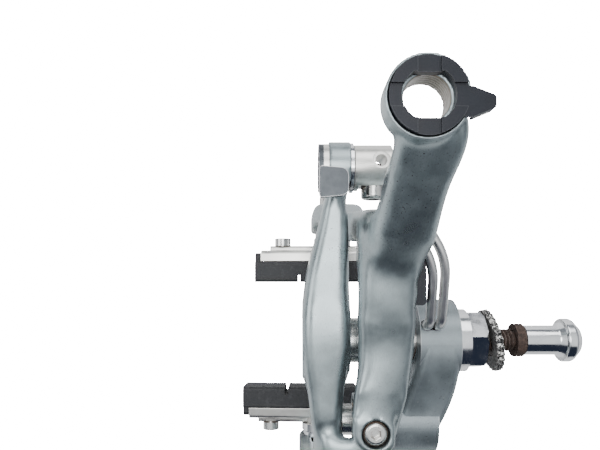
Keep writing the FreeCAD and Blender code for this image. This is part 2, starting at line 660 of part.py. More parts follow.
def stop_arm():
    """Rear arm: side pivot, bridge over the centre bolt, cable stop and leg to the near shoe."""
    foot_y = STOP_SIDE_FACE + PAD_T + HOLDER_T + INNER_STACK_T + FOOT_T / 2
    foot_front = STOP_SIDE_X - FOOT_W / 2
    foot_rear = STOP_SIDE_X + FOOT_W / 2
    front = STOP_ARM_FRONT
    rear = STOP_ARM_REAR
    arm = limb([
        (PIVOT_Y, PIVOT_Z, WEB_FRONT, WEB_REAR, PIVOT_BOSS_D * 0.92, 1.2),
        (PIVOT_Y + 3.0, 8.0, WEB_FRONT, WEB_REAR, 12.0, 1.2),
        (PIVOT_Y + 11.0, 14.4, front + 1.0, rear - 2.0, 9.6, 2.4),
        (0, 15.6, front, rear, 9.2, 2.6),
        (11.0, 17.2, front, rear, 10.5, 2.8),
        (21.5, 16.0, front, rear - 0.2, 14.0, 3.0),
        (28.8, 7.0, front + 0.3, rear - 1.4, 11.4, 3.0),
        (31.2, -7.0, front - 2.2, rear - 5.0, 8.2, 2.4),
        (34.6, -20.0, front - 7.0, rear - 7.8, 7.0, 2.0),
        (foot_y, FOOT_TOP_Z, foot_front, foot_rear, FOOT_T, FOOT_EDGE),
    ], straight_down=True)
    neck = limb([
        (12.0, 16.6, front + 1.6, rear - 1.0, 7.0, 2.4),
        (23.0, 19.2, front + 1.8, rear + 1.8, 12.4, 3.0),
        (31.0, 26.6, front + 2.8, rear + 2.8, 12.0, 3.0),
        (36.5, 33.0, front + 3.9, rear + 3.4, 8.8, 3.0),
        (42.0, 38.4, front + 4.6, rear + 4.9, 7.6, 2.8),
        (STOP_Y - 2.0, 42.6, front + 4.6, rear + 4.6, 6.6, 2.4),
    ])
    neck = neck.cut(Part.makeCylinder(
        STOP_BORE_D / 2 + NECK_ROOM, STOP_D, V(STOP_X, STOP_Y, STOP_FLOOR_Z), V(0, 0, -1)))
    boss = Part.makeCylinder(STOP_D / 2, STOP_HEIGHT, V(STOP_X, STOP_Y, STOP_FLOOR_Z))
    boss = boss.makeFillet(STOP_EDGE, [boss.Edges[2]])
    arm = arm.fuse(rod(PIVOT_BOSS_D, PIVOT_BOSS_FRONT, PIVOT_BOSS_REAR, PIVOT_Y, PIVOT_Z)).fuse(neck)
    for room in front_arm_rooms():
        arm = arm.cut(room)
    arm = arm.fuse(boss).fuse(screw_block())
    arm = arm.cut(rod(
        BRACKET_EAR_D + 2 * FREE_GAP, PIVOT_BOSS_REAR, PIVOT_BOSS_REAR + BRACKET_T, PIVOT_Y, PIVOT_Z))
    end, slot = foot(STOP_SIDE_X, foot_y)
    arm = arm.fuse(end).cut(slot)
    arm = arm.cut(Part.makeCylinder(STOP_BORE_D / 2, 2 * STOP_HEIGHT, V(STOP_X, STOP_Y, STOP_FLOOR_Z)))
    arm = arm.cut(Part.makeCylinder(
        RING_SEAT_D / 2, STOP_HEIGHT, V(STOP_X, STOP_Y, STOP_TOP_Z - RING_SEAT_DEPTH)))
    arm = arm.cut(rod(
        PIVOT_BOLT_D + 2 * RUN_GAP + 2 * BUSH_WALL + 2 * SEAT_GAP,
        PIVOT_BOSS_FRONT - ARM_GAP, PIVOT_BOSS_REAR + ARM_GAP, PIVOT_Y, PIVOT_Z))
    arm = arm.cut(Part.makeCylinder(SCREW_SINK_D / 2, BLOCK_T, V(SCREW_X, SCREW_Y, SCREW_SEAT_Z)))
    arm = arm.cut(Part.makeCylinder(
        SCREW_D / 2 + RUN_GAP, 2 * BLOCK_T, V(SCREW_X, SCREW_Y, SCREW_SEAT_Z - BLOCK_T)))
    arm = arm.cut(holder_block()).cut(spring_wire(WIRE_D + 2 * FREE_GAP))
    return arm.cut(release_room())


def front_arm_rooms():
    """Spaces in front of the rear arm and around the ledge that the front arm turns in."""
    ahead = Part.makeBox(
        ANCHOR_ARM_T, ANCHOR_Y - PIVOT_Y + PIVOT_BOSS_D, STOP_TOP_Z,
        V(STOP_ARM_FRONT - ANCHOR_ARM_T, PIVOT_Y - PIVOT_BOSS_D, PIVOT_Z))
    low = PIVOT_Z - PIVOT_BOSS_D
    outer = SCREW_Y - PIVOT_BOSS_D - LEDGE_OUT
    ledge = Part.makeBox(
        STOP_ARM_T, SCREW_Y + BLOCK_END - outer, LEDGE_TOP_Z + FREE_GAP - low,
        V(WEB_FRONT - STOP_ARM_T, outer, low))
    boss = rod(PIVOT_BOSS_D + 2 * FREE_GAP, WEB_FRONT - STOP_ARM_T, PIVOT_BOSS_REAR, PIVOT_Y, PIVOT_Z)
    return ahead, ledge.cut(boss)


def release_room():
    """Space that the spool and the turning clamp's head need in the rear arm while the brake closes."""
    spool = rod(
        SPOOL_D + 2 * CLOSING_ROOM, SPOOL_START - CLOSING_ROOM, SPOOL_START + SPOOL_LEN + CLOSING_ROOM,
        ANCHOR_Y, ANCHOR_Z)
    half = CLAMP_HEAD_D / 2 + CLOSING_ROOM
    reach = ANCHOR_Y - CLAMP_SEAT_Y + CLAMP_HEAD_T + CLOSING_ROOM
    piece = spool.fuse(rod(2 * reach, CLAMP_X - half, CLAMP_X + half, ANCHOR_Y, ANCHOR_Z))
    room = spool
    for share in CLOSING_STEPS:
        swung = piece.copy()
        swung.rotate(V(0, 0, 0), V(1, 0, 0), CLOSING_TURN * share)
        swung.rotate(V(0, PIVOT_Y, PIVOT_Z), V(1, 0, 0), CLOSING_TURN * CLOSING_RATIO * share)
        room = room.fuse(swung)
    return room


def screw_block():
    """Head of the rear arm that holds the centring screw: a plate around it, blended into the bridge."""
    low = BLOCK_TOP_Z - BLOCK_T
    end = SCREW_Y - SCREW_SINK_D / 2 - BLOCK_EDGE
    corners = [
        V(STOP_ARM_FRONT - 1.4, end, low),
        V(SCREW_X + BLOCK_END, end, low),
        V(SCREW_X + BLOCK_END, SCREW_Y + BLOCK_END, low),
        V(STOP_ARM_FRONT - 1.4, SCREW_Y + BLOCK_END, low),
    ]
    block = plate(corners, [BLOCK_END, 3.0, 0.5, 0.5], V(0, 0, BLOCK_T))
    block = block.makeFillet(BLOCK_EDGE, [e for e in block.Edges if e.BoundBox.ZMin > BLOCK_TOP_Z - SEAT_GAP])
    shoulder = limb([
        (SCREW_Y, BLOCK_TOP_Z - BLOCK_T / 2, STOP_ARM_FRONT - 1.4, SCREW_X + BLOCK_END - 0.3, BLOCK_T - 0.2, 2.0),
        (SCREW_Y + 8.3, BLOCK_TOP_Z - 3.2, STOP_ARM_FRONT - 0.9, STOP_ARM_REAR - 4.6, BLOCK_T + 0.4, 2.2),
        (SCREW_Y + 14.1, BLOCK_TOP_Z - 3.6, STOP_ARM_FRONT - 0.2, STOP_ARM_REAR - 2.3, BLOCK_T + 1.4, 2.4),
        (4.0, 15.8, STOP_ARM_FRONT + 0.4, STOP_ARM_REAR - 0.8, 8.0, 2.4),
    ])
    return block.fuse(shoulder)


def index_ring():
    """Plastic ring over the cable stop, grooved across its top, with a tab that ends in a wedge."""
    centre = V(STOP_X, STOP_Y, RING_LOW_Z)
    ring = Part.makeCylinder(INDEX_D / 2, INDEX_T, centre)
    hole = Part.makeCylinder(INDEX_SLOT_W / 2, INDEX_T, centre)
    band = Part.makeBox(INDEX_D, INDEX_SLOT_FLATS, INDEX_T, centre - V(INDEX_D / 2, INDEX_SLOT_FLATS / 2, 0))
    ring = ring.cut(hole.common(band))
    top = RING_LOW_Z + INDEX_T
    groove = Part.makeBox(
        INDEX_D, INDEX_GROOVE_W, INDEX_T, V(STOP_X, STOP_Y - INDEX_GROOVE_W / 2, top - INDEX_GROOVE_DEPTH))
    for step in range(4):
        ring = ring.cut(groove)
        groove.rotate(V(STOP_X, STOP_Y, 0), V(0, 0, 1), 90)
    low = STOP_TOP_Z + SEAT_GAP
    root = STOP_X + INDEX_D / 2 - 1.0
    rim = STOP_X + STOP_D / 2 + SEAT_GAP
    tip = STOP_X + INDEX_D / 2 + INDEX_TAB_REACH
    tab_y = STOP_Y + INDEX_TAB_SHIFT
    bar = Part.makeBox(
        rim - root, INDEX_TAB_W, top - INDEX_GROOVE_DEPTH - low, V(root, tab_y - INDEX_TAB_W / 2, low))
    wedge = plate(
        [V(rim - 0.1, tab_y - INDEX_TAB_W / 2, low), V(tip, tab_y - INDEX_TAB_TIP_W / 2, low),
         V(tip, tab_y + INDEX_TAB_TIP_W / 2, low), V(rim - 0.1, tab_y + INDEX_TAB_W / 2, low)],
        [0.1, 0.8, 0.8, 0.1], V(0, 0, top - INDEX_GROOVE_DEPTH - low))
    hook = plate(
        [V(rim, tab_y - INDEX_TAB_W / 2, low), V(tip, tab_y - INDEX_TAB_TIP_W / 2, low),
         V(tip, tab_y + INDEX_TAB_TIP_W / 2, low), V(rim, tab_y + INDEX_TAB_W / 2, low)],
        [0.1, 0.8, 0.8, 0.1], V(0, 0, -INDEX_TAB_T))
    return ring.fuse(bar).fuse(wedge).fuse(hook)


def centring_screw():
    """Adjuster with a domed socket head, its tip over the front arm's ledge."""
    seat = SCREW_SEAT_Z + RUN_GAP
    head = Part.makeCylinder(SCREW_HEAD_D / 2, SCREW_HEAD_T, V(SCREW_X, SCREW_Y, seat))
    head = head.makeFillet(1.0, [head.Edges[0]])
    tip = LEDGE_TOP_Z + FREE_GAP
    shank = Part.makeCylinder(SCREW_D / 2, seat - tip, V(SCREW_X, SCREW_Y, tip))
    key = hexagon(SCREW_KEY, 0, SCREW_HEAD_T)
    key.rotate(V(0, 0, 0), V(0, 1, 0), -90)
    key.translate(V(SCREW_X, SCREW_Y, seat + SCREW_HEAD_T * 0.35))
    return head.fuse(shank).cut(key)


def release_cam():
    """Quick-release shaft: head in front of the arm, spool behind it, drilled for the cable and its clamp."""
    seat = ANCHOR_BOSS_FRONT - RUN_GAP
    y, z = ANCHOR_Y, ANCHOR_Z
    cam = rod(CAM_HEAD_D, seat - CAM_HEAD_T, seat, y, z)
    cam = cam.fuse(rod(CAM_SHAFT_D, seat, SPOOL_START, y, z))
    spool = rod(SPOOL_D, SPOOL_START, SPOOL_START + SPOOL_LEN, y, z)
    spool = spool.makeFillet(CAM_EDGE, [spool.Edges[0], spool.Edges[2]])
    cam = cam.fuse(spool)
    hole_x = SPOOL_START + CABLE_HOLE_SETBACK
    hole_y = y + CABLE_HOLE_OFFSET
    hole = Part.makeCylinder(CABLE_HOLE_D / 2, SPOOL_D, V(hole_x, hole_y, z - SPOOL_D / 2))
    sink = Part.makeCylinder(CABLE_SINK_D / 2, SPOOL_D, V(hole_x, hole_y, z + SPOOL_D / 2 - CABLE_SINK_DEPTH))
    thread = Part.makeCylinder(
        CLAMP_BOLT_D / 2 + SEAT_GAP, CLAMP_SHANK_LEN + SPOOL_D,
        V(CLAMP_X, CLAMP_SEAT_Y - SPOOL_D + RUN_GAP, z), V(0, 1, 0))
    flat = Part.makeBox(
        SPOOL_LEN, SPOOL_D, SPOOL_D,
        V(CLAMP_X - CLAMP_HEAD_D / 2 - CLAMP_FLAT, CLAMP_SEAT_Y + SEAT_GAP - SPOOL_D, z - SPOOL_D / 2))
    return cam.cut(hole).cut(sink).cut(thread).cut(flat)


def release_lever():
    """Finger tab fixed to the cam's head and bent over the arm."""
    rear = ANCHOR_BOSS_FRONT - RUN_GAP - CAM_HEAD_T - SEAT_GAP
    front = rear - LEVER_T
    hub = rod(CAM_HEAD_D, front, rear, ANCHOR_Y, ANCHOR_Z)
    top = ANCHOR_Z + ANCHOR_BOSS_D / 2 + LEVER_RISE
    low = top - LEVER_PLATE_T
    near = ANCHOR_Y - 1.0
    far = ANCHOR_Y - LEVER_REACH
    arm = plate(
        [V(front, ANCHOR_Y + 1.0, ANCHOR_Z - 3.0), V(front, ANCHOR_Y - 3.2, ANCHOR_Z - 3.0),
         V(front, far, top), V(front, near, top)],
        [0.5, 1.0, 1.0, 2.0], V(LEVER_T, 0, 0))
    tab = plate(
        [V(front, far, low), V(front, near, low), V(front + LEVER_WIDTH, near - 0.6, low),
         V(front + LEVER_WIDTH, far + 0.6, low)],
        [0.8, 0.8, 2.0, 2.0], V(0, 0, LEVER_PLATE_T))
    return hub.fuse(arm).fuse(tab)


def clamp_bolt():
    """Cable clamp bolt across the spool."""
    low = CLAMP_SEAT_Y - CLAMP_HEAD_T
    head = Part.makeCylinder(CLAMP_HEAD_D / 2, CLAMP_HEAD_T, V(CLAMP_X, low, ANCHOR_Z), V(0, 1, 0))
    head = head.makeFillet(CLAMP_EDGE, [head.Edges[2]])
    shank = Part.makeCylinder(CLAMP_BOLT_D / 2, CLAMP_SHANK_LEN, V(CLAMP_X, CLAMP_SEAT_Y, ANCHOR_Z), V(0, 1, 0))
    key = hexagon(CLAMP_KEY, 0, CLAMP_HEAD_T * 0.7)
    key.rotate(V(0, 0, 0), V(0, 0, 1), 90)
    key.translate(V(CLAMP_X, low, ANCHOR_Z))
    return head.fuse(shank).cut(key)


def cam_washer():
    """Thin washer between the front arm and the spool."""
    start = ANCHOR_ARM_REAR + RUN_GAP
    washer = rod(CAM_WASHER_D, start, start + CAM_WASHER_T, ANCHOR_Y, ANCHOR_Z)
    return washer.cut(rod(CAM_SHAFT_D + 2 * RUN_GAP, start, start + CAM_WASHER_T, ANCHOR_Y, ANCHOR_Z))


class Shoe:
    """One brake shoe, measured outwards from its braking face and curved about the wheel's axis."""

    def __init__(self, side, face, bolt_x):
        self.side = side
        self.face = face
        self.bolt_x = bolt_x
        self.pad_x = bolt_x + SHOE_OFFSET

    def at(self, depth, height, x=None):
        """Point at a depth behind the braking face and a height above the shoe's centre."""
        return V(self.pad_x if x is None else x, self.side * (self.face + depth), SHOE_Z + height)

    def bar(self, depths, heights, radii, start, end):
        """Section swept along the rim's curve between two distances from the pad's middle."""
        corners = [self.at(d, h) for d, h in zip(depths, heights)]
        face = Part.Face(outline(corners, radii))
        hub = V(self.pad_x, 0, SHOE_Z - WHEEL_R)
        face.rotate(hub, V(0, 1, 0), math.degrees(start / WHEEL_R))
        return face.revolve(hub, V(0, 1, 0), math.degrees((end - start) / WHEEL_R))

    def pin(self, diameter, depth, length, x):
        """Cylinder along Y, outwards from a depth."""
        return Part.makeCylinder(diameter / 2, length, self.at(depth, 0, x), V(0, self.side, 0))

    def key(self, flats, depth, length, x):
        """Hexagonal socket along Y that opens outwards."""
        socket = hexagon(flats, 0, length)
        socket.rotate(V(0, 0, 0), V(0, 0, 1), 90 * self.side)
        socket.translate(self.at(depth, 0, x))
        return socket

    def pad(self):
        """Rubber block with its rail, rim slits and the lip at its leading end."""
        half = PAD_H / 2
        neck = RAIL_H / 2
        wide = neck + RAIL_FLARE
        block = self.bar([0, PAD_T, PAD_T, 0], [-half, -half, half, half], [1.0, 0.5, 0.5, 1.0],
                         -PAD_LEN / 2, PAD_LEN / 2)
        rail = self.bar([PAD_T - 1, PAD_T, PAD_T + RAIL_T, PAD_T + RAIL_T, PAD_T, PAD_T - 1],
                        [-neck, -neck, -wide, wide, neck, neck], [0] * 6,
                        -HOLDER_LEN / 2 + 1, HOLDER_LEN / 2 - 2)
        lip = self.bar([PAD_T - 2, PAD_T + 3.2, PAD_T + 3.2, PAD_T - 2], [-4, -4, 4, 4], [0, 1.5, 1.5, 0],
                       -PAD_LEN / 2, -HOLDER_LEN / 2 - FREE_GAP)
        block = block.fuse(rail).fuse(lip)
        for place in (-1, 0, 1):
            middle = place * SLIT_PITCH
            slit = self.bar([-1, SLIT_DEPTH, SLIT_DEPTH, -1], [-PAD_H, -PAD_H, PAD_H, PAD_H], [0] * 4,
                            middle - SLIT_W / 2, middle + SLIT_W / 2)
            block = block.cut(slit)
        screw_x = self.pad_x - PAD_SCREW_SETBACK
        return block.cut(self.pin(PAD_SCREW_D + 2 * SEAT_GAP, PAD_T + RAIL_T - 1.2, 3, screw_x))

    def holder(self):
        """Channel that carries the rubber, with a spine along its back."""
        gap = 2 * RUN_GAP
        half = HOLDER_H / 2
        neck = RAIL_H / 2 + gap
        wide = neck + RAIL_FLARE
        base = PAD_T + gap
        back = PAD_T + HOLDER_T
        body = self.bar([base, back - 1.6, back - 1.6, base], [-half, -half + 0.4, half - 0.4, half],
                        [0.3, 1.4, 1.4, 0.3], -HOLDER_LEN / 2, HOLDER_LEN / 2)
        spine = self.bar([base + 3, back, back, base + 3], [-2.6, -2.2, 2.2, 2.6], [0, 1.0, 1.0, 0],
                         -HOLDER_LEN / 2 + 3, HOLDER_LEN / 2 - 3)
        channel = self.bar([base - 1, PAD_T, PAD_T + RAIL_T + gap, PAD_T + RAIL_T + gap, PAD_T, base - 1],
                           [-neck, -neck, -wide, wide, neck, neck], [0] * 6,
                           -HOLDER_LEN / 2 - 1, HOLDER_LEN / 2 - 1.6)
        body = body.fuse(spine).fuse(self.pin(SEAT_WASHER_D * 0.8, base + 2.6, back - base - 2.6, self.bolt_x))
        body = body.cut(channel)
        body = body.cut(self.pin(PAD_SCREW_D + 2 * SEAT_GAP, PAD_T, HOLDER_T + 1, self.pad_x - PAD_SCREW_SETBACK))
        return body.cut(self.pin(SHOE_BOLT_D + 2 * SEAT_GAP, PAD_T + 1, HOLDER_T + 1, self.bolt_x))

    def pad_screw(self):
        """Small screw that keeps the rubber in its channel."""
        x = self.pad_x - PAD_SCREW_SETBACK
        back = PAD_T + HOLDER_T
        start = PAD_T + RAIL_T - 1.0
        head = self.pin(PAD_SCREW_HEAD_D, back + SEAT_GAP, PAD_SCREW_HEAD_T, x)
        shank = self.pin(PAD_SCREW_D, start, back + SEAT_GAP - start, x)
        return head.fuse(shank).cut(self.key(2.0, back + 1.2, PAD_SCREW_HEAD_T, x))

    def shoe_bolt(self):
        """Bolt through the arm's slot into the holder."""
        start = PAD_T + RAIL_T + 0.4
        seat = PAD_T + HOLDER_T + INNER_STACK_T + FOOT_T + OUTER_STACK_T + SEAT_GAP
        shank = self.pin(SHOE_BOLT_D, start, seat - start, self.bolt_x)
        head = self.pin(SHOE_HEAD_D, seat, SHOE_HEAD_T, self.bolt_x)
        head = head.makeFillet(0.7, [head.Edges[0]])
        return shank.fuse(head).cut(self.key(SHOE_KEY, seat + 1.5, SHOE_HEAD_T, self.bolt_x))

    def seat_washer(self):
        """Dished washer against the holder."""
        back = PAD_T + HOLDER_T + SEAT_GAP
        thick = INNER_STACK_T * 0.55
        washer = self.pin(SEAT_WASHER_D, back, thick, self.bolt_x)
        ball = Part.makeSphere(DOME_R, self.at(back + thick - 1.4 + DOME_R, 0, self.bolt_x))
        return washer.cut(ball).cut(self.pin(SHOE_BOLT_D + 0.6, back - 1, thick + 2, self.bolt_x))

    def dome_washer(self):
        """Ball-faced washer between the dished one and the arm."""
        back = PAD_T + HOLDER_T
        face = back + INNER_STACK_T - SEAT_GAP
        start = back + SEAT_GAP + INNER_STACK_T * 0.55 - 1.4
        washer = self.pin(DOME_WASHER_D, start, face - start, self.bolt_x)
        ball = Part.makeSphere(DOME_R - RUN_GAP, self.at(start + DOME_R, 0, self.bolt_x))
        return washer.common(ball).cut(self.pin(SHOE_BOLT_D + 0.6, start - 1, face - start + 2, self.bolt_x))

    def outer_washer(self):
        """Washer between the arm and the bolt's head."""
        start = PAD_T + HOLDER_T + INNER_STACK_T + FOOT_T + SEAT_GAP
        washer = self.pin(DOME_WASHER_D, start, OUTER_STACK_T - SEAT_GAP, self.bolt_x)
        return washer.cut(self.pin(SHOE_BOLT_D + 0.6, start - 1, OUTER_STACK_T + 2, self.bolt_x))


save("mounting_bolt", mounting_bolt())
save("flange_nut", flange_nut())
save("set_screw", set_screw())
save("serrated_washer", serrated_washer())
save("lock_ring", lock_ring())
save("sleeve_nut", sleeve_nut())
save("pivot_bracket", pivot_bracket())
save("return_spring", return_spring())
save("spring_holder", spring_holder())
save("side_pivot_bolt", side_pivot_bolt())
save("side_bush", side_bush())
save("centre_bush", centre_bush())
save("bolt_collar", bolt_collar())
save("front_nut", front_nut())
save("front_cap", front_cap())
save("thrust_washer_front", thrust_washer(SHANK_D + 2 * RUN_GAP, COLLAR_D, ANCHOR_ARM_REAR + RUN_GAP))
save("thrust_washer_nut", thrust_washer(THREAD_BORE_D, COLLAR_D, HUB_FLOOR - THRUST_T - RUN_GAP / 2))
save("thrust_washer_side", thrust_washer(
    PIVOT_BOLT_D + 2 * RUN_GAP, PIVOT_BOSS_D - 2.0, PIVOT_BOSS_REAR + RUN_GAP, PIVOT_Y, PIVOT_Z))
save("anchor_arm", anchor_arm())
save("stop_arm", stop_arm())
save("index_ring", index_ring())
save("centring_screw", centring_screw())
save("release_cam", release_cam())
save("release_lever", release_lever())
save("cam_washer", cam_washer())
save("clamp_bolt", clamp_bolt())
for label, shoe in (
    ("stop", Shoe(1, STOP_SIDE_FACE, STOP_SIDE_X)),
    ("anchor", Shoe(-1, ANCHOR_SIDE_FACE, ANCHOR_SIDE_X)),
):
    save(f"{label}_pad", shoe.pad())
    save(f"{label}_shoe_holder", shoe.holder())
    save(f"{label}_pad_screw", shoe.pad_screw())
    save(f"{label}_shoe_bolt", shoe.shoe_bolt())
    save(f"{label}_seat_washer", shoe.seat_washer())
    save(f"{label}_dome_washer", shoe.dome_washer())
    save(f"{label}_outer_washer", shoe.outer_washer())
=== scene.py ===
"""Looks of the caliper brake: finishes, cut threads, spring wire, floor, light and camera."""
import bmesh
import bpy
import json
import math
import numpy
from mathutils import Matrix, Vector
from mathutils.bvhtree import BVHTree


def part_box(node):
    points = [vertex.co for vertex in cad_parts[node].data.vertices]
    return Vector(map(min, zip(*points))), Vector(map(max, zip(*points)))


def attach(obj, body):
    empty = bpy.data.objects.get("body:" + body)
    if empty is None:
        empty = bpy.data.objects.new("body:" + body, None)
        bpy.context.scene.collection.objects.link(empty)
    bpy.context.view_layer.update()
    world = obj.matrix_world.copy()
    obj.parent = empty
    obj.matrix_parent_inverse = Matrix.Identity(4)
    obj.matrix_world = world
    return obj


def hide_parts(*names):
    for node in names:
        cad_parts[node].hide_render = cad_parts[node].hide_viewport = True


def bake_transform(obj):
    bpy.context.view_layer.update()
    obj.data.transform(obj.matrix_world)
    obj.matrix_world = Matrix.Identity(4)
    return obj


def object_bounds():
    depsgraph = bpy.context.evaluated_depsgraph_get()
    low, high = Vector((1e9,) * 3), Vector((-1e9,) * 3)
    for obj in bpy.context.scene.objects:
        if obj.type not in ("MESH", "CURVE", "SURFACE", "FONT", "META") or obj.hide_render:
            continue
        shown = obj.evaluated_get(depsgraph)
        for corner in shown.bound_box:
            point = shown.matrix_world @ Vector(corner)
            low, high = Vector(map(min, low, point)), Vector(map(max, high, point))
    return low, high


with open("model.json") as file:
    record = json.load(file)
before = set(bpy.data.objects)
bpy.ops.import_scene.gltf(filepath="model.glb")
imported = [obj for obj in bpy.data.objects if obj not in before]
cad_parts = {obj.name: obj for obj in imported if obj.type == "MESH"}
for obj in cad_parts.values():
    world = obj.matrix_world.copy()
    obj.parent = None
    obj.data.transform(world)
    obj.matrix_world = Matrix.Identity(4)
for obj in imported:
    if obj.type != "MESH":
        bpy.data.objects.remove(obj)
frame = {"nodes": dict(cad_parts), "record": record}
cad_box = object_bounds()

bl_info = {
    "name": "Caliper brake looks",
    "version": (1, 0, 0),
    "blender": (4, 5, 0),
    "location": "View3D > Sidebar > Brake",
    "description": "Finishes, fine parts, floor, light and camera for the caliper brake",
    "category": "Object",
}

MM = 0.001

CAMERA_PLACE = (-0.0488, 0.0176, 0.150)
SENSOR_WIDTH = 36.0
LENS = 33.24
CAMERA_RISE = 50 / 600
NEAREST = 0.005

LIGHT_AIM = (-0.045, 0.01, 0)
LIGHTS = (
    ("key_light", (-0.05, 0.10, 0.55), 0.30, 1.3),
    ("left_light", (-0.50, 0.10, 0.30), 0.35, 1.0),
    ("rear_light", (0.10, 0.50, 0.30), 0.40, 1.2),
)

FLOOR_HALF = 1.5
FLOOR_DROP = 0.02 * MM
FLOOR_GLOW = 30.0

# Shares of the thread's pitch: half its foot and half its crest
THREAD_FOOT = 0.46
THREAD_CREST = 0.09
BOLT_SHARP = math.radians(35)
WIRE_SHARP = math.radians(50)


def mount(name):
    """One of the record's mounts."""
    for found in frame["record"]["mounts"]:
        if found["name"] == name:
            return found
    raise RuntimeError(f"the record has no mount named {name}")


def mount_place(name):
    """Position of a mount, in metres."""
    return Vector(mount(name)["pos_m"])


def mount_dims(name):
    """Radius and length of a mount, in millimetres."""
    return mount(name)["dims"]


class BrakeSizes(bpy.types.PropertyGroup):
    """Sizes of the fine detail."""

    thread_pitch: bpy.props.FloatProperty(
        name="Thread pitch", description="Advance of the bolt's thread in one turn",
        default=1.0 * MM, unit="LENGTH")
    thread_depth: bpy.props.FloatProperty(
        name="Thread depth", description="Depth of the bolt's thread below its crest",
        default=0.62 * MM, unit="LENGTH")
    thread_steps: bpy.props.IntProperty(
        name="Thread steps", description="Flat steps in one turn of the thread", default=48)
    speck: bpy.props.FloatProperty(
        name="Speck size", description="Size of the dark specks in the paint",
        default=0.35 * MM, unit="LENGTH")
    edge_wear: bpy.props.FloatProperty(
        name="Edge wear", description="Width of the worn band along the arms' edges",
        default=0.35 * MM, unit="LENGTH")
    square: bpy.props.FloatProperty(
        name="Square", description="Size of the squares of the arms' surfaces",
        default=0.42 * MM, unit="LENGTH")
    flow_rounds: bpy.props.IntProperty(
        name="Flow rounds", description="Rounds of smoothing where the arms' forms meet",
        default=160)
    # Reach of the ambient occlusion that paints shade, with grime, into the gaps
    grime_and_shade_reach: bpy.props.FloatProperty(
        name="Grime reach", description="How far grime creeps out of the gaps",
        default=3.5 * MM, unit="LENGTH")


class BrakeColours(bpy.types.PropertyGroup):
    """Colours of the finishes."""

    paint: bpy.props.FloatVectorProperty(
        name="Arm paint", description="Metallic paint of both arms",
        default=(0.36, 0.42, 0.435), subtype="COLOR")
    bracket_paint: bpy.props.FloatVectorProperty(
        name="Bracket paint", description="Satin paint of the pivot bracket",
        default=(0.27, 0.31, 0.33), subtype="COLOR")
    rust: bpy.props.FloatVectorProperty(
        name="Rust", description="Main colour of the rusted steel",
        default=(0.046, 0.029, 0.023), subtype="COLOR")
    # Dark colour painted into gaps and corners: painted shade, with grime
    grime_and_shade: bpy.props.FloatVectorProperty(
        name="Grime", description="Old grease and dust in the gaps",
        default=(0.018, 0.018, 0.018), subtype="COLOR")
    plastic: bpy.props.FloatVectorProperty(
        name="Plastic", description="Dark plastic of the ring and the spring's holder",
        default=(0.006, 0.0075, 0.013), subtype="COLOR")
    rubber: bpy.props.FloatVectorProperty(
        name="Rubber", description="Rubber of the pads",
        default=(0.022, 0.023, 0.026), subtype="COLOR")
    floor: bpy.props.FloatVectorProperty(
        name="Floor", description="Pale floor", default=(0.90, 0.90, 0.90), subtype="COLOR")
    walls: bpy.props.FloatVectorProperty(
        name="Walls", description="Room around the brake, low down",
        default=(0.24, 0.26, 0.285), subtype="COLOR")
    ceiling: bpy.props.FloatVectorProperty(
        name="Ceiling", description="Room above the brake",
        default=(1.05, 1.08, 1.10), subtype="COLOR", soft_max=2.0)
    onlooker: bpy.props.FloatVectorProperty(
        name="Onlooker", description="Dark shape in front of the arms' lower ends",
        default=(0.020, 0.026, 0.045), subtype="COLOR")


# Balls where the arms' forms flow together, and others where they stay as they are:
# centre, radius and margin in millimetres
REAR_ARM_FLOW = [
    ((-28.0, 16.0, 21.5), 8.0, 6.0),
    ((-24.5, 42.0, 39.5), 3.5, 4.5),
    ((-30.5, -14.2, 19.5), 3.0, 3.0),
    ((-28.0, -1.0, 18.5), 6.0, 6.0),
    ((-30.0, -14.0, 10.0), 4.0, 4.0),
    ((-30.5, 29.0, 2.0), 6.0, 5.0),
    ((-36.0, 35.0, -30.0), 5.0, 5.0),
]
REAR_ARM_KEPT = [
    ((-21.5, 28.0, 20.5), 4.6, 1.0),
    ((-20.5, 14.0, 16.5), 4.0, 1.0),
    ((-20.5, 20.0, 16.5), 4.0, 1.0),
    ((-30.9, -20.0, 19.0), 3.9, 1.0),
    ((-29.6, -22.0, -2.0), 8.5, 1.0),
    ((-37.4, 37.5, -42.0), 9.5, 1.5),
]
FRONT_ARM_FLOW = [
    ((-38.7, 38.5, 6.0), 3.0, 3.5),
    ((-42.0, 12.0, 4.0), 5.0, 5.0),
    ((-42.0, -12.0, 4.0), 4.0, 5.0),
    ((-40.0, -27.0, 9.0), 5.0, 4.0),
    ((-41.6, -38.0, -28.0), 5.0, 5.0),
]
FRONT_ARM_KEPT = [
    ((-39.0, 45.3, 6.0), 6.2, 1.0),
    ((-46.0, 0.0, 0.0), 9.0, 1.0),
    ((-37.0, 0.0, 0.0), 9.0, 1.0),
    ((-41.6, -44.0, -42.0), 9.5, 1.5),
]


class Term:
    """Output socket of a node, so that sums and products of values are written as expressions."""

    def __init__(self, finish, socket):
        self.finish = finish
        self.socket = socket

    def calc(self, operation, *values):
        return self.finish.node("ShaderNodeMath", {"operation": operation}, dict(enumerate(values)))

    def __add__(self, other):
        return self.calc("ADD", self, other)

    __radd__ = __add__

    def __sub__(self, other):
        return self.calc("SUBTRACT", self, other)

    def __rsub__(self, other):
        return self.calc("SUBTRACT", other, self)

    def __mul__(self, other):
        return self.calc("MULTIPLY", self, other)

    __rmul__ = __mul__

    def __neg__(self):
        return self.calc("MULTIPLY", self, -1.0)

    def plain(self, operation):
        """Function of this value alone, such as SINE, SQRT or ABSOLUTE."""
        return self.calc(operation, self)


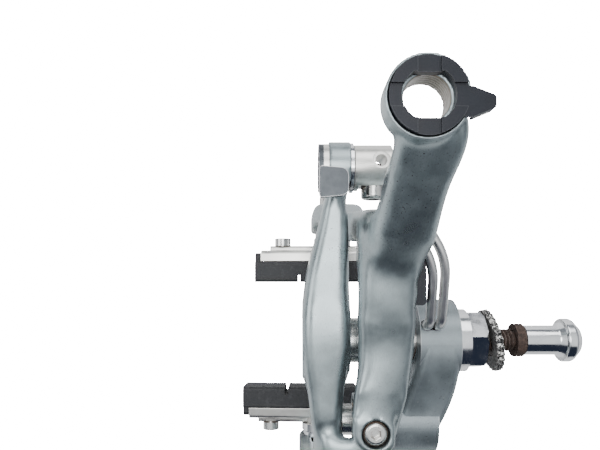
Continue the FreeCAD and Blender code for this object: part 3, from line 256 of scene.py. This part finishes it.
class Finish:
    """Node tree of a material or of the world, made one node at a time."""

    def __init__(self, owner):
        owner.use_nodes = True
        self.owner = owner
        self.tree = owner.node_tree
        self.tree.nodes.clear()

    def node(self, kind, settings=None, values=None, output=0):
        made = self.tree.nodes.new(kind)
        for name, value in (settings or {}).items():
            if name == "stops":
                self.set_stops(made.color_ramp, value)
            else:
                setattr(made, name, value)
        for name, value in (values or {}).items():
            socket = made.inputs[name]
            if isinstance(value, Term):
                self.tree.links.new(value.socket, socket)
            else:
                socket.default_value = value
        return Term(self, made.outputs[output]) if made.outputs else None

    def set_stops(self, ramp, stops):
        """Colours along a ramp, as pairs of place and colour."""
        ramp.elements[0].position = stops[0][0]
        ramp.elements[0].color = stops[0][1]
        ramp.elements[1].position = stops[-1][0]
        ramp.elements[1].color = stops[-1][1]
        for place, colour in stops[1:-1]:
            ramp.elements.new(place).color = colour

    def place(self, stretch=None):
        """Object coordinates, stretched on the way if that is asked for."""
        place = self.node("ShaderNodeTexCoord", output="Object")
        if stretch is None:
            return place
        return self.node("ShaderNodeMapping", {}, {"Vector": place, "Scale": stretch})

    def axis(self, letter):
        """One coordinate in metres."""
        return self.node("ShaderNodeSeparateXYZ", {}, {"Vector": self.place()}, output=letter)

    def away(self, first, first_middle, second, second_middle):
        """Distance from an axis that stands square to two of the coordinates."""
        across = self.axis(first) - first_middle
        along = self.axis(second) - second_middle
        return (across * across + along * along).plain("SQRT")

    def noise(self, size, detail=3.0, rough=0.55, stretch=None):
        """Noise from 0 to 1 with features of about the given size."""
        return self.node("ShaderNodeTexNoise", {}, {
            "Vector": self.place(stretch), "Scale": 1.0 / size, "Detail": detail,
            "Roughness": rough})

    def cells(self, size):
        """Distance from the nearest of scattered points, in cells."""
        return self.node("ShaderNodeTexVoronoi", {}, {"Vector": self.place(), "Scale": 1.0 / size})

    def band(self, value, low, high):
        """Smooth step from 0 at low to 1 at high, or the other way round."""
        return self.node("ShaderNodeMapRange", {"interpolation_type": "SMOOTHSTEP"}, {
            "Value": value, "From Min": low, "From Max": high})

    def mix(self, factor, first, second):
        """Blend of two colours, each a socket or three numbers."""
        return self.node("ShaderNodeMix", {"data_type": "RGBA"}, {
            0: factor, 6: colour_value(first), 7: colour_value(second)}, output=2)

    def blend(self, factor, first, second):
        """Blend of two numbers."""
        return self.node("ShaderNodeMix", {"data_type": "FLOAT"}, {0: factor, 2: first, 3: second})

    def edges(self, width):
        """1 along sharp edges, fading within the width."""
        rounded = self.node("ShaderNodeBevel", {"samples": 4}, {"Radius": width})
        straight = self.node("ShaderNodeNewGeometry", output="Normal")
        along = self.node("ShaderNodeVectorMath", {"operation": "DOT_PRODUCT"}, {
            0: rounded, 1: straight}, output="Value")
        return self.band(along, 0.985, 0.86)

    def crevices(self, reach):
        """1 deep in gaps and corners, 0 on open faces."""
        open_sky = self.node(
            "ShaderNodeAmbientOcclusion", {"samples": 6}, {"Distance": reach}, output="AO")
        return self.band(open_sky, 0.62, 0.18)

    def bump(self, height, distance, strength=0.5, under=None):
        """Normal from a height, laid over another normal."""
        values = {"Height": height, "Distance": distance, "Strength": strength}
        if under:
            values["Normal"] = under
        return self.node("ShaderNodeBump", {}, values)

    def shade(self, **values):
        """Surface shader with the given sockets, and the material's output."""
        sockets = {name.replace("_", " "): value for name, value in values.items()}
        sockets["Base Color"] = colour_value(sockets["Base Color"])
        surface = self.node("ShaderNodeBsdfPrincipled", {}, sockets)
        self.node("ShaderNodeOutputMaterial", {}, {"Surface": surface})
        return self.owner


def colour_value(colour):
    """Colour as a socket takes it."""
    return colour if isinstance(colour, Term) else (*colour, 1.0)


def new_finish(name):
    return Finish(bpy.data.materials.new(name))


def sizes():
    return bpy.context.scene.brake_sizes


def colours():
    return bpy.context.scene.brake_colours


def worn_paint(name, colour, metal, gloss):
    """Satin metallic paint with specks, dust, stains, chips, worn edges, and grime with painted
    shade in the gaps.
    """
    finish = new_finish(name)
    stains = finish.noise(9 * MM, 4.0)
    clouds = finish.noise(28 * MM, 2.0)
    fine = finish.noise(sizes().speck, 1.0)
    specks = finish.band(fine, 0.68, 0.73) * finish.band(clouds, 0.36, 0.58)
    dots = finish.band(finish.cells(1.7 * MM), 0.10, 0.04)
    dust = dots * finish.band(finish.noise(4 * MM), 0.50, 0.62)
    ragged = finish.noise(0.5 * MM, 3.0)
    worn = finish.band(finish.edges(sizes().edge_wear) + 0.9 * ragged, 1.02, 1.30)
    # Ambient occlusion darkens gaps and corners towards the dark colour: painted shade, with grime
    # mixed in by noise; it also roughens and dulls the paint there
    gaps = finish.crevices(sizes().grime_and_shade_reach)
    grime_and_shade = finish.band(gaps + 0.5 * finish.noise(1.2 * MM), 0.55, 1.15)
    flakes = finish.noise(0.09 * MM, 1.0)
    dark = tuple(0.80 * c for c in colour)
    light = tuple(1.12 * c for c in colour)
    base = finish.mix(finish.band(stains, 0.35, 0.70), dark, light)
    base = finish.mix(0.30 * finish.band(flakes, 0.35, 0.65), base, tuple(1.25 * c for c in colour))
    base = finish.mix(0.55 * dust, base, (0.62, 0.64, 0.64))
    base = finish.mix(0.75 * worn, base, (0.78, 0.80, 0.82))
    base = finish.mix(0.85 * specks, base, (0.05, 0.055, 0.06))
    base = finish.mix(0.92 * grime_and_shade, base, tuple(colours().grime_and_shade))
    rough = finish.blend(finish.band(stains, 0.3, 0.7), gloss - 0.06, gloss + 0.09)
    rough = finish.blend(grime_and_shade, rough, 0.75)
    rough = finish.blend(dust, rough, 0.8)
    metallic = (1.0 - 0.85 * grime_and_shade) * metal
    skin = finish.bump(finish.noise(0.55 * MM, 2.0), 0.02 * MM, 0.35)
    skin = finish.bump(1.0 - worn, 0.03 * MM, 0.4, skin)
    return finish, dict(Base_Color=base, Roughness=rough, Metallic=metallic, Normal=skin)


def silver_paint():
    """Arm paint, with the bare threaded wall of the cable stop's bore."""
    finish, looks = worn_paint("silver_paint", tuple(colours().paint), 0.86, 0.32)
    centre = mount_place("cable_stop")
    wall = mount_dims("cable_stop")["r_mm"] * MM
    away = finish.away("X", centre.x, "Y", centre.y)
    near = finish.band(away, wall + 0.15 * MM, wall + 0.05 * MM)
    bore = near * finish.band(finish.axis("Z"), 38 * MM, 38.5 * MM)
    lines = (finish.axis("Z") * (2 * math.pi / sizes().thread_pitch)).plain("SINE")
    tan = finish.mix(finish.noise(1.5 * MM), (0.24, 0.21, 0.17), (0.46, 0.43, 0.38))
    looks["Base_Color"] = finish.mix(bore, looks["Base_Color"], tan)
    looks["Metallic"] = looks["Metallic"] * (1.0 - 0.65 * bore)
    looks["Normal"] = finish.bump(lines * bore, 0.10 * MM, 0.6, looks["Normal"])
    return finish.shade(**looks, Coat_Weight=0.25, Coat_Roughness=0.15)


def grey_paint():
    """Bracket paint: darker, flatter and dustier than the arms."""
    finish, looks = worn_paint("grey_paint", tuple(colours().bracket_paint), 0.65, 0.42)
    return finish.shade(**looks)


def bright_plating():
    """Chrome with smudges and hair scratches."""
    finish = new_finish("bright_plating")
    smudge = finish.noise(3 * MM, 4.0)
    scratches = finish.noise(0.35 * MM, 2.0, stretch=(0.12, 1, 1))
    base = finish.mix(finish.band(smudge, 0.4, 0.75), (0.86, 0.87, 0.88), (0.74, 0.75, 0.78))
    rough = finish.blend(finish.band(smudge, 0.35, 0.75), 0.10, 0.24)
    return finish.shade(
        Base_Color=base, Roughness=rough, Metallic=1.0,
        Normal=finish.bump(scratches, 0.006 * MM, 0.25))


def rusty_steel():
    """Steel rusted brown in patches, bright on its crests."""
    finish = new_finish("rusty_steel")
    rust = tuple(colours().rust)
    bloom = finish.noise(0.9 * MM, 5.0, 0.65)
    grain = finish.noise(0.22 * MM, 3.0, 0.6)
    base = finish.node("ShaderNodeValToRGB", {"stops": [
        (0.30, (0.016, 0.012, 0.011, 1)),
        (0.46, (*rust, 1)),
        (0.62, (0.105, 0.066, 0.052, 1)),
        (0.80, (0.24, 0.19, 0.17, 1)),
    ]}, {"Fac": 0.6 * bloom + 0.4 * grain}, output="Color")
    crest = finish.edges(0.12 * MM) * finish.band(bloom, 0.40, 0.60)
    base = finish.mix(0.55 * crest, base, (0.50, 0.44, 0.41))
    height = 0.6 * bloom + 0.4 * grain
    return finish.shade(
        Base_Color=base, Roughness=finish.blend(crest, 0.82, 0.45), Metallic=0.55 * crest,
        Normal=finish.bump(height, 0.12 * MM, 0.6))


def dull_steel():
    """Plated steel gone grey, rusting in its sockets."""
    finish = new_finish("dull_steel")
    bloom = finish.noise(0.9 * MM, 4.0)
    hollow = finish.band(finish.crevices(1.6 * MM) + 0.5 * bloom, 0.45, 0.95)
    spots = finish.band(finish.noise(0.6 * MM, 2.0), 0.66, 0.72)
    base = finish.mix(bloom, (0.60, 0.60, 0.58), (0.80, 0.80, 0.78))
    base = finish.mix(0.8 * spots, base, (0.20, 0.16, 0.13))
    base = finish.mix(0.9 * hollow, base, (0.17, 0.105, 0.07))
    return finish.shade(
        Base_Color=base, Roughness=finish.blend(hollow, 0.24, 0.75), Metallic=1.0 - 0.75 * hollow,
        Normal=finish.bump(finish.noise(0.3 * MM), 0.03 * MM, 0.4))


def spring_steel():
    """Bright drawn wire with faint lines."""
    finish = new_finish("spring_steel")
    lines = finish.noise(0.4 * MM, 2.0, stretch=(1, 0.15, 0.15))
    base = finish.mix(finish.noise(2 * MM), (0.82, 0.82, 0.80), (0.93, 0.93, 0.92))
    return finish.shade(
        Base_Color=base, Roughness=finish.blend(lines, 0.26, 0.38), Metallic=1.0,
        Normal=finish.bump(lines, 0.01 * MM, 0.3))


def machined_alloy():
    """Bright turned alloy with a cream cast, darkened in its gaps by grime and painted shade."""
    finish = new_finish("machined_alloy")
    lines = finish.noise(0.25 * MM, 2.0, stretch=(1, 0.1, 0.1))
    stains = finish.noise(2.5 * MM, 4.0)
    # Painted shade: ambient occlusion darkens the gaps, with grime mixed in by the stains
    grime_and_shade = finish.band(finish.crevices(1.4 * MM) + 0.4 * stains, 0.55, 1.0)
    base = finish.mix(stains, (0.80, 0.79, 0.74), (0.90, 0.89, 0.86))
    base = finish.mix(0.8 * grime_and_shade, base, (0.12, 0.11, 0.09))
    return finish.shade(
        Base_Color=base, Roughness=finish.blend(stains, 0.26, 0.42), Metallic=1.0 - 0.7 * grime_and_shade,
        Normal=finish.bump(lines, 0.01 * MM, 0.35))


def dark_alloy():
    """Dark anodised lever, rubbed bright at its edges."""
    finish = new_finish("dark_alloy")
    stains = finish.noise(2 * MM, 4.0)
    worn = finish.band(finish.edges(0.3 * MM) + 0.8 * stains, 0.95, 1.2)
    base = finish.mix(stains, (0.055, 0.062, 0.070), (0.11, 0.12, 0.13))
    base = finish.mix(0.7 * worn, base, (0.70, 0.71, 0.72))
    return finish.shade(
        Base_Color=base, Roughness=finish.blend(worn, 0.42, 0.28), Metallic=0.8,
        Normal=finish.bump(finish.noise(0.2 * MM), 0.01 * MM, 0.4))


def worn_black():
    """Black finish broken through to bright metal on the teeth, dusty grey on the faces, with
    painted shade on the face towards the hole.
    """
    finish = new_finish("worn_black")
    low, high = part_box("serrated_washer")
    middle = (low + high) / 2
    out = finish.away("Y", middle.y, "Z", middle.z)
    rim = finish.band(out, 0.86 * high.z, 0.95 * high.z)
    chips = finish.band(finish.noise(0.42 * MM, 3.0, 0.7), 0.50, 0.57)
    dust = finish.band(finish.noise(0.7 * MM, 4.0), 0.35, 0.65)
    face = finish.mix(dust, (0.060, 0.060, 0.058), (0.20, 0.20, 0.195))
    edge = finish.mix(chips, (0.008, 0.008, 0.009), (0.74, 0.73, 0.70))
    # Painted shade: the face turns dark brown towards the hole, where the dished recess lies in
    # shade
    recess_shade = finish.band(out, 0.52 * high.z, 0.44 * high.z)
    face = finish.mix(0.8 * recess_shade, face, (0.035, 0.022, 0.018))
    return finish.shade(
        Base_Color=finish.mix(rim, face, edge),
        Roughness=finish.blend(rim * chips, 0.62, 0.30), Metallic=0.3 + 0.6 * (rim * chips),
        Normal=finish.bump(finish.noise(0.3 * MM, 3.0), 0.10 * MM, 0.7))


def bronze():
    """Plain bearing bronze."""
    finish = new_finish("bronze")
    stains = finish.noise(1.5 * MM, 3.0)
    return finish.shade(
        Base_Color=finish.mix(stains, (0.46, 0.30, 0.16), (0.60, 0.44, 0.26)),
        Roughness=finish.blend(stains, 0.3, 0.5), Metallic=1.0)


def black_plastic():
    """Near-black moulded plastic with rubbed, paler edges."""
    finish = new_finish("black_plastic")
    grain = finish.noise(0.18 * MM, 3.0)
    stains = finish.noise(3 * MM, 3.0)
    plastic = tuple(colours().plastic)
    base = finish.mix(stains, plastic, tuple(1.8 * c for c in plastic))
    worn = finish.band(finish.edges(0.25 * MM) + 0.6 * stains, 0.85, 1.2)
    base = finish.mix(0.30 * worn, base, (0.22, 0.23, 0.25))
    return finish.shade(
        Base_Color=base, Roughness=finish.blend(stains, 0.30, 0.46), Metallic=0.0,
        Specular_IOR_Level=0.3, Normal=finish.bump(grain, 0.02 * MM, 0.35))


def pad_rubber():
    """Hard black rubber, dusty and slightly glazed."""
    finish = new_finish("pad_rubber")
    grain = finish.noise(0.35 * MM, 4.0)
    dust = finish.band(finish.noise(2.2 * MM, 5.0, 0.65), 0.48, 0.75)
    rubber = tuple(colours().rubber)
    base = finish.mix(0.5 * dust, rubber, (0.11, 0.11, 0.115))
    return finish.shade(
        Base_Color=base, Roughness=finish.blend(dust, 0.55, 0.85), Metallic=0.0,
        Normal=finish.bump(grain, 0.05 * MM, 0.5))


def finish_nodes(slot, make):
    """Give every CAD node of a slot its finish."""
    chosen = [
        part for part in frame["nodes"].values()
        if part.material_slots[0].name.split(".")[0] == slot]
    if not chosen:
        raise RuntimeError(f"no piece has the slot {slot}")
    material = make()
    for part in chosen:
        for place in part.material_slots:
            place.material = material
    return material


def add_piece(name, mesh, source, body):
    """Object for a finished mesh, in the finish of a CAD node and riding on its body."""
    piece = bpy.data.objects.new(name, mesh)
    bpy.context.scene.collection.objects.link(piece)
    mesh.materials.clear()
    mesh.materials.append(frame["nodes"][source].material_slots[0].material)
    if body:
        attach(piece, body)
    return piece


def spin_profile(bm, points, steps):
    """Closed turned body about X from its half outline, from one end of the axis to the other."""
    ring = [bm.verts.new((x, radius, 0)) for x, radius in points]
    wire = [bm.edges.new(pair) for pair in zip(ring, ring[1:])]
    bmesh.ops.spin(
        bm, geom=ring + wire, cent=(0, 0, 0), axis=(1, 0, 0), angle=2 * math.pi, steps=steps,
        use_merge=True)
    bmesh.ops.remove_doubles(bm, verts=bm.verts, dist=1e-7)


def cut_thread(bm, start, end, crest, depth, pitch, steps):
    """Helical ridge about X, closed at both ends."""
    root = crest - depth - 0.02 * MM
    half = THREAD_FOOT * pitch
    tip = THREAD_CREST * pitch
    corners = [
        (start - half, root), (start - tip, crest), (start + tip, crest), (start + half, root)]
    verts = [bm.verts.new((x, radius, 0)) for x, radius in corners]
    section = bm.faces.new(verts)
    turns = (end - start) / pitch
    count = round(turns * steps)
    bmesh.ops.spin(
        bm, geom=[section], cent=(0, 0, 0), axis=(1, 0, 0), angle=2 * math.pi * turns,
        steps=count, dvec=((end - start) / count, 0, 0), use_duplicate=False)


def even_mesh(name, size):
    """Mesh of a CAD node made anew from squares of one size, and the node's own surface."""
    source = bmesh.new()
    source.from_mesh(frame["nodes"][name].data)
    bmesh.ops.remove_doubles(source, verts=source.verts, dist=1e-6)
    surface = BVHTree.FromBMesh(source)
    mesh = bpy.data.meshes.new(f"{name}_source")
    source.to_mesh(mesh)
    source.free()
    helper = bpy.data.objects.new(f"{name}_source", mesh)
    bpy.context.scene.collection.objects.link(helper)
    squares = helper.modifiers.new("squares", "REMESH")
    squares.mode = "VOXEL"
    squares.voxel_size = size
    remeshed = helper.evaluated_get(bpy.context.evaluated_depsgraph_get())
    even = bpy.data.meshes.new_from_object(remeshed)
    bpy.data.objects.remove(helper)
    bpy.data.meshes.remove(mesh)
    return even, surface


def zone_weights(points, zones):
    """How far each point lies in the zones: 1 inside a zone's ball, fading to 0 over its margin."""
    weights = numpy.zeros(len(points))
    for centre, radius, margin in zones:
        away = numpy.linalg.norm(points - numpy.array(centre) * MM, axis=1) / MM
        share = numpy.clip((radius + margin - away) / margin, 0, 1)
        weights = numpy.maximum(weights, share * share * (3 - 2 * share))
    return weights


def relax(points, edges, weights, rounds):
    """Move each point towards the middle of its neighbours, by its weight."""
    count = numpy.maximum(numpy.bincount(edges.ravel(), minlength=len(points)), 1)
    step = (0.5 * weights / count)[:, None]
    for _ in range(rounds):
        total = numpy.zeros_like(points)
        for axis in range(3):
            total[:, axis] = (
                numpy.bincount(edges[:, 0], points[edges[:, 1], axis], len(points))
                + numpy.bincount(edges[:, 1], points[edges[:, 0], axis], len(points)))
        points = points + step * (total - count[:, None] * points)
    return points


def flowing_piece(name, body, zones, kept):
    """Piece of one node whose forms flow into each other in the zones, but not in the kept ones."""
    look = sizes()
    mesh, surface = even_mesh(name, look.square)
    points = numpy.empty(3 * len(mesh.vertices))
    mesh.vertices.foreach_get("co", points)
    points = points.reshape(-1, 3)
    edges = numpy.empty(2 * len(mesh.edges), dtype=int)
    mesh.edges.foreach_get("vertices", edges)
    weights = zone_weights(points, zones) * (1 - zone_weights(points, kept))
    snapped = numpy.array([surface.find_nearest(Vector(point))[0] for point in points])
    points = relax(snapped, edges.reshape(-1, 2), weights, look.flow_rounds)
    mesh.vertices.foreach_set("co", points.ravel())
    mesh.update()
    mesh.name = f"{name}_skin"
    mesh.shade_smooth()
    piece = add_piece(f"{name}_skin", mesh, name, body)
    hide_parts(name)


class BRAKE_OT_flowing_arms(bpy.types.Operator):
    """Forged arms, whose bosses, necks and webs flow into each other"""

    bl_idname = "brake.flowing_arms"
    bl_label = "Flowing arms"

    def execute(self, context):
        flowing_piece("stop_arm", "rear_arm", REAR_ARM_FLOW, REAR_ARM_KEPT)
        flowing_piece("anchor_arm", "front_arm", FRONT_ARM_FLOW, FRONT_ARM_KEPT)
        return {"FINISHED"}


class BRAKE_OT_threaded_bolt(bpy.types.Operator):
    """Mounting bolt with its cut thread"""

    bl_idname = "brake.threaded_bolt"
    bl_label = "Threaded bolt"

    def execute(self, context):
        low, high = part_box("mounting_bolt")
        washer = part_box("thrust_washer_nut")[1].x
        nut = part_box("flange_nut")[0].x
        bare = mount_dims("mounting_bolt")
        start = mount_place("mounting_bolt").x
        end = start + bare["length_mm"] * MM
        crest = bare["r_mm"] * MM
        look = sizes()
        root = crest - look.thread_depth
        core = crest - 0.5 * look.thread_depth
        bm = bmesh.new()
        spin_profile(bm, [
            (low.x, 0), (low.x, core), (washer, core), (washer, high.z), (nut, high.z), (nut, core),
            (start, core), (start, root), (high.x, root), (high.x, 0)], look.thread_steps)
        half = 0.5 * look.thread_pitch
        turn = look.thread_pitch, look.thread_steps
        cut_thread(bm, start + half, end - half, crest, look.thread_depth, *turn)
        cut_thread(bm, end + half, high.x - half, core, core - root, *turn)
        bmesh.ops.recalc_face_normals(bm, faces=bm.faces)
        mesh = bpy.data.meshes.new("threaded_bolt")
        bm.to_mesh(mesh)
        bm.free()
        mesh.shade_smooth()
        mesh.set_sharp_from_angle(angle=BOLT_SHARP)
        piece = add_piece("threaded_bolt", mesh, "mounting_bolt", "mount")
        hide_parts("mounting_bolt")
        return {"FINISHED"}


class BRAKE_OT_spring_wire(bpy.types.Operator):
    """Return spring's wire, bending between the bracket and the rear arm"""

    bl_idname = "brake.spring_wire"
    bl_label = "Spring wire"

    def execute(self, context):
        source = frame["nodes"]["return_spring"]
        bm = bmesh.new()
        bm.from_mesh(source.data)
        bmesh.ops.remove_doubles(bm, verts=bm.verts, dist=1e-6)
        mesh = bpy.data.meshes.new("spring_wire")
        bm.to_mesh(mesh)
        bm.free()
        mesh.shade_smooth()
        mesh.set_sharp_from_angle(angle=WIRE_SHARP)
        piece = add_piece("spring_wire", mesh, "return_spring", None)
        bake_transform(piece)
        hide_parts("return_spring")
        return {"FINISHED"}


FINISHES = {
    "silver_paint": silver_paint,
    "grey_paint": grey_paint,
    "bright_plating": bright_plating,
    "rusty_steel": rusty_steel,
    "dull_steel": dull_steel,
    "spring_steel": spring_steel,
    "machined_alloy": machined_alloy,
    "dark_alloy": dark_alloy,
    "worn_black": worn_black,
    "bronze": bronze,
    "black_plastic": black_plastic,
    "pad_rubber": pad_rubber,
}


class BRAKE_OT_finishes(bpy.types.Operator):
    """Paint, plating, rust, plastic and rubber on the pieces of the frame"""

    bl_idname = "brake.finishes"
    bl_label = "Finishes"

    def execute(self, context):
        for slot, make in FINISHES.items():
            finish_nodes(slot, make)
        return {"FINISHED"}


class BRAKE_OT_stage(bpy.types.Operator):
    """Pale floor, soft studio light, sky and camera"""

    bl_idname = "brake.stage"
    bl_label = "Stage"

    def execute(self, context):
        self.floor()
        self.sky()
        self.lights()
        self.camera()
        return {"FINISHED"}

    def floor(self):
        low = cad_box[0]
        bm = bmesh.new()
        bmesh.ops.create_grid(bm, x_segments=1, y_segments=1, size=FLOOR_HALF)
        bmesh.ops.translate(bm, verts=bm.verts, vec=(0, 0, low[2] - FLOOR_DROP))
        mesh = bpy.data.meshes.new("floor")
        bm.to_mesh(mesh)
        bm.free()
        finish = new_finish("floor_white")
        seen = finish.node("ShaderNodeLightPath", output="Is Camera Ray")
        paper = finish.node("ShaderNodeBsdfDiffuse", {}, {"Color": colour_value(colours().floor)})
        glow = finish.node(
            "ShaderNodeEmission", {}, {"Color": (1, 1, 1, 1), "Strength": FLOOR_GLOW * seen})
        both = finish.node("ShaderNodeAddShader", {}, {0: paper, 1: glow})
        finish.node("ShaderNodeOutputMaterial", {}, {"Surface": both})
        floor = bpy.data.objects.new("floor", mesh)
        mesh.materials.append(finish.owner)
        bpy.context.scene.collection.objects.link(floor)

    def sky(self):
        """White room, dark where the onlooker stands in front of the arms' lower ends."""
        world = bpy.data.worlds.new("room")
        bpy.context.scene.world = world
        finish = Finish(world)
        way = finish.node("ShaderNodeTexCoord", output="Generated")
        up = finish.node("ShaderNodeSeparateXYZ", {}, {"Vector": way}, output="Z")
        side = finish.node("ShaderNodeSeparateXYZ", {}, {"Vector": way}, output="Y")
        across = finish.node("ShaderNodeSeparateXYZ", {}, {"Vector": way}, output="X")
        ahead = finish.band(-side, 0.34, 0.46)
        narrow = finish.band(across.plain("ABSOLUTE"), 0.80, 0.55)
        onlooker = ahead * narrow * finish.band(up, -0.15, -0.05)
        height = finish.band(up, 0.20, 0.98)
        room = finish.mix(height, tuple(colours().walls), tuple(colours().ceiling))
        colour = finish.mix(onlooker, room, tuple(colours().onlooker))
        back = finish.node("ShaderNodeBackground", {}, {"Color": colour, "Strength": 1.0})
        finish.node("ShaderNodeOutputWorld", {}, {"Surface": back})

    def lights(self):
        for name, place, size, power in LIGHTS:
            data = bpy.data.lights.new(name, "AREA")
            data.shape = "DISK"
            data.size = size
            data.energy = power
            lamp = bpy.data.objects.new(name, data)
            aim = Vector(LIGHT_AIM) - Vector(place)
            turn = aim.to_track_quat("-Z", "Y").to_matrix().to_4x4()
            lamp.matrix_world = Matrix.Translation(place) @ turn
            bpy.context.scene.collection.objects.link(lamp)

    def camera(self):
        data = bpy.data.cameras.new("camera")
        data.sensor_width = SENSOR_WIDTH
        data.lens = LENS
        data.shift_y = CAMERA_RISE
        data.clip_start = NEAREST
        camera = bpy.data.objects.new("camera", data)
        camera.location = CAMERA_PLACE
        bpy.context.scene.collection.objects.link(camera)
        bpy.context.scene.camera = camera


class BRAKE_PT_panel(bpy.types.Panel):
    """Steps that dress the brake"""

    bl_idname = "BRAKE_PT_panel"
    bl_label = "Caliper brake"
    bl_space_type = "VIEW_3D"
    bl_region_type = "UI"
    bl_category = "Brake"

    def draw(self, context):
        for step in STEPS:
            self.layout.operator(step.bl_idname)
        for group in (context.scene.brake_sizes, context.scene.brake_colours):
            for name in group.__annotations__:
                self.layout.prop(group, name)


STEPS = (
    BRAKE_OT_finishes,
    BRAKE_OT_flowing_arms,
    BRAKE_OT_threaded_bolt,
    BRAKE_OT_spring_wire,
    BRAKE_OT_stage,
)
CLASSES = (BrakeSizes, BrakeColours, *STEPS, BRAKE_PT_panel)


def register():
    for kind in CLASSES:
        bpy.utils.register_class(kind)
    bpy.types.Scene.brake_sizes = bpy.props.PointerProperty(type=BrakeSizes)
    bpy.types.Scene.brake_colours = bpy.props.PointerProperty(type=BrakeColours)


def unregister():
    del bpy.types.Scene.brake_sizes
    del bpy.types.Scene.brake_colours
    for kind in reversed(CLASSES):
        bpy.utils.unregister_class(kind)


def main():
    register()
    bpy.ops.brake.finishes()
    bpy.ops.brake.flowing_arms()
    bpy.ops.brake.threaded_bolt()
    bpy.ops.brake.spring_wire()
    bpy.ops.brake.stage()


if __name__ == "__main__":
    main()
